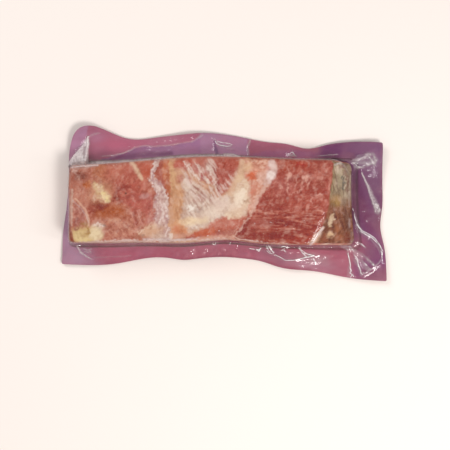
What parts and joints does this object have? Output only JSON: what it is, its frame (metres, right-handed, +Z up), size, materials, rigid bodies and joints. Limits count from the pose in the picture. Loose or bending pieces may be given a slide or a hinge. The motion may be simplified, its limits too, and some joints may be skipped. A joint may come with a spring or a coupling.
{
  "type": "vacuum-sealed bacon slab",
  "caption": "Long slab of bacon vacuum-sealed in a flat film bag, with a wavy rim of film all round and gathered film at its corners.",
  "frame": {"origin": "middle of the bounding box's floor, on the surface the pack lies on", "axes": "+X along the slab towards its sloped end, +Y towards its back edge, +Z up"},
  "size_m": [0.3058, 0.1468, 0.0332],
  "materials": {
    "film_over_bacon": "clear film drawn tight over red meat and cream fat"
  },
  "bodies": {
    "root": {"sealed_pack": "film_over_bacon"}
  },
  "joints": []
}
